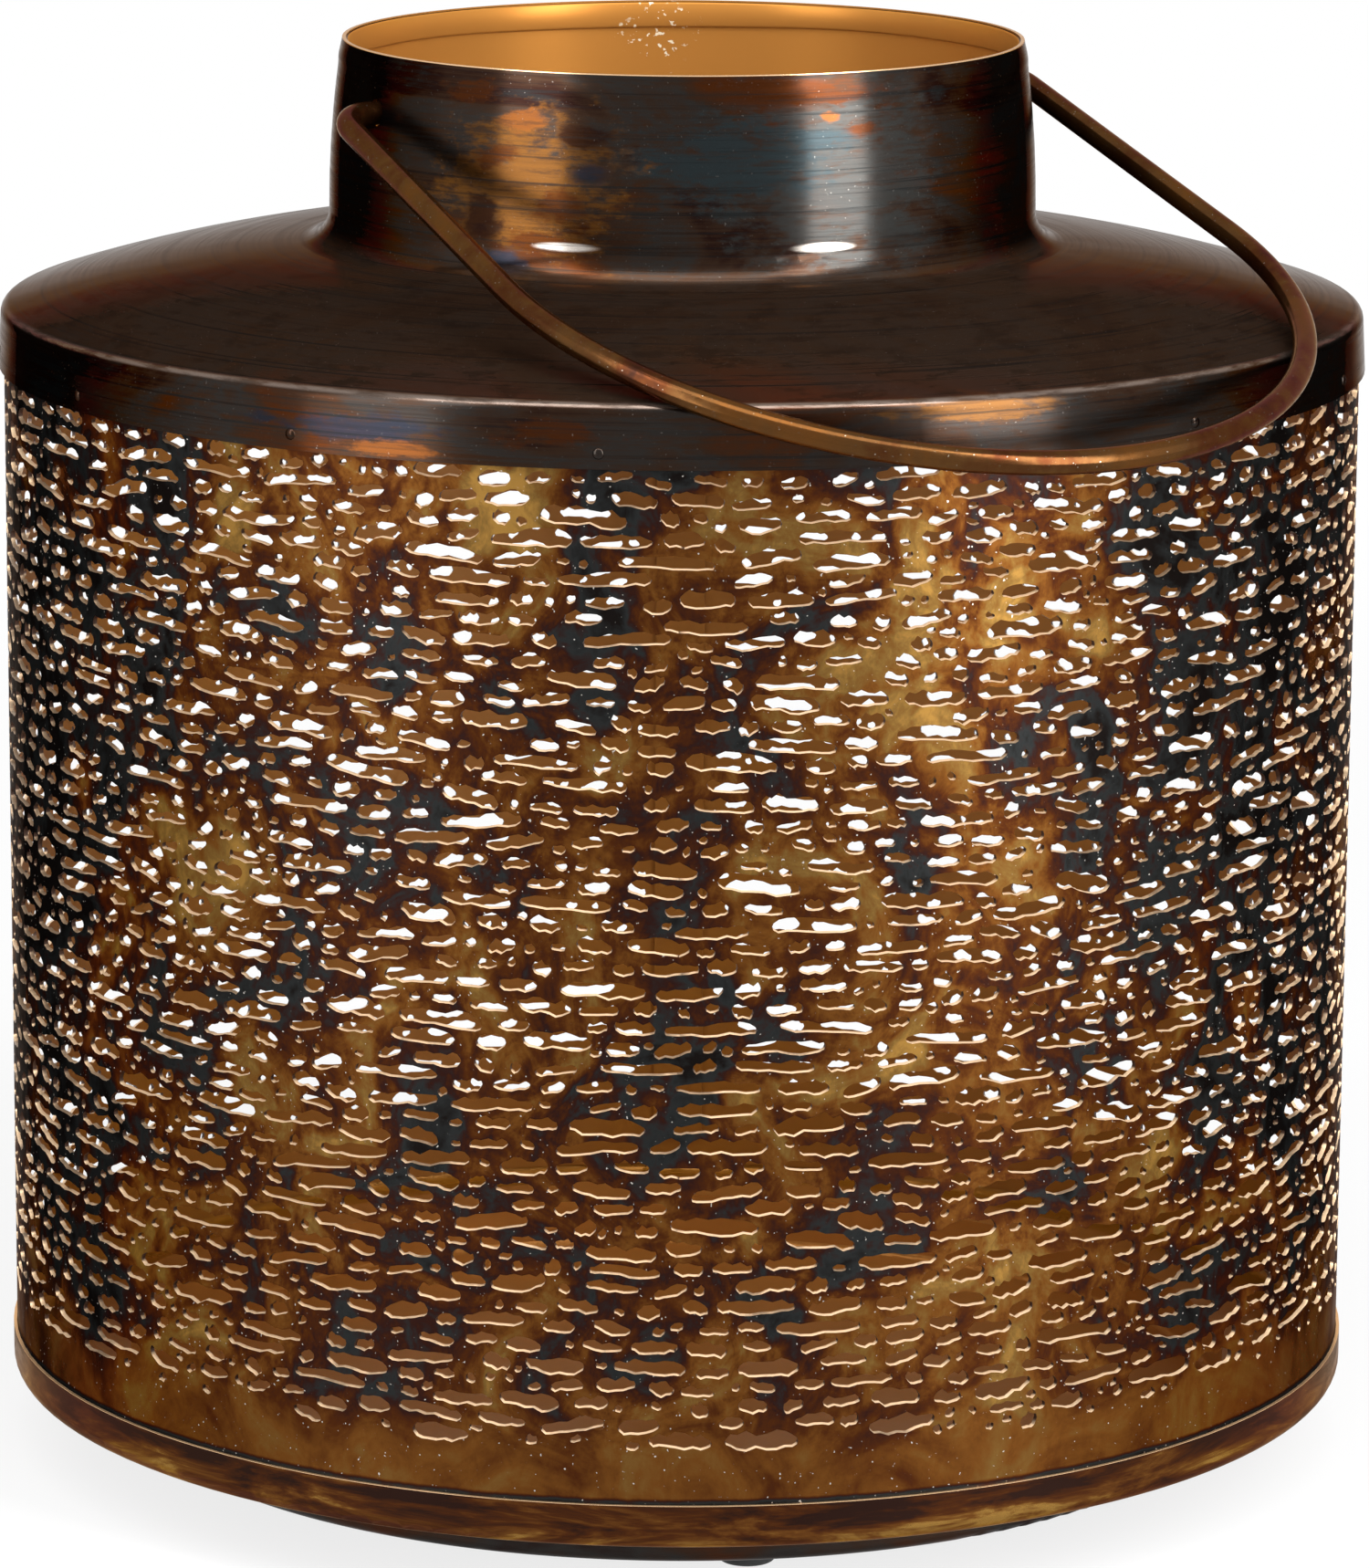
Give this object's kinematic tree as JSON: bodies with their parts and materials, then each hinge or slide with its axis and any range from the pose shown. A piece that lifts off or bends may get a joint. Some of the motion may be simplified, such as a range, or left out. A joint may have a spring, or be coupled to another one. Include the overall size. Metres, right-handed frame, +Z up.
{
  "type": "candle lantern",
  "caption": "Round punched-metal candle lantern: a spun top with an open neck on a slotted drum, a banded base on a set-back dish with feet, and a swinging wire bail.",
  "frame": {"origin": "middle of the dish floor inside the lantern, where the candle stands, on the lantern's axis", "axes": "+Z up along the lantern's axis, X along the bail's pivot axis, -Y the side the bail lies on at rest"},
  "size_m": [0.3032, 0.3248, 0.3151],
  "materials": {
    "burnt_top": "heat-tinted dark gunmetal brown, satin",
    "burnt_drum": "burnt brass, blotched amber to blue-black, copper-gold paint inside",
    "burnt_band": "burnt brass, rubbed lower edge",
    "dark_dish": "dark brown outside, copper-gold paint inside",
    "black_rubber": "matte",
    "burnt_wire": "brown brass, satin"
  },
  "bodies": {
    "lantern": {"spun_top": "burnt_top", "punched_drum": "burnt_drum", "base_rim": "burnt_band", "bottom_dish": "dark_dish", "rubber_foot_1": "black_rubber", "rubber_foot_2": "black_rubber", "rubber_foot_3": "black_rubber", "rubber_foot_4": "black_rubber", "skirt_rivets": "burnt_top"},
    "bail": {"bail_handle": "burnt_wire"}
  },
  "joints": [
    {"name": "bail_swing", "type": "hinge", "parent": "lantern", "child": "bail", "pos_m": [0, 0, 0.2975], "axis": [-1, 0, 0], "range_deg": [0, 216.5]}
  ]
}
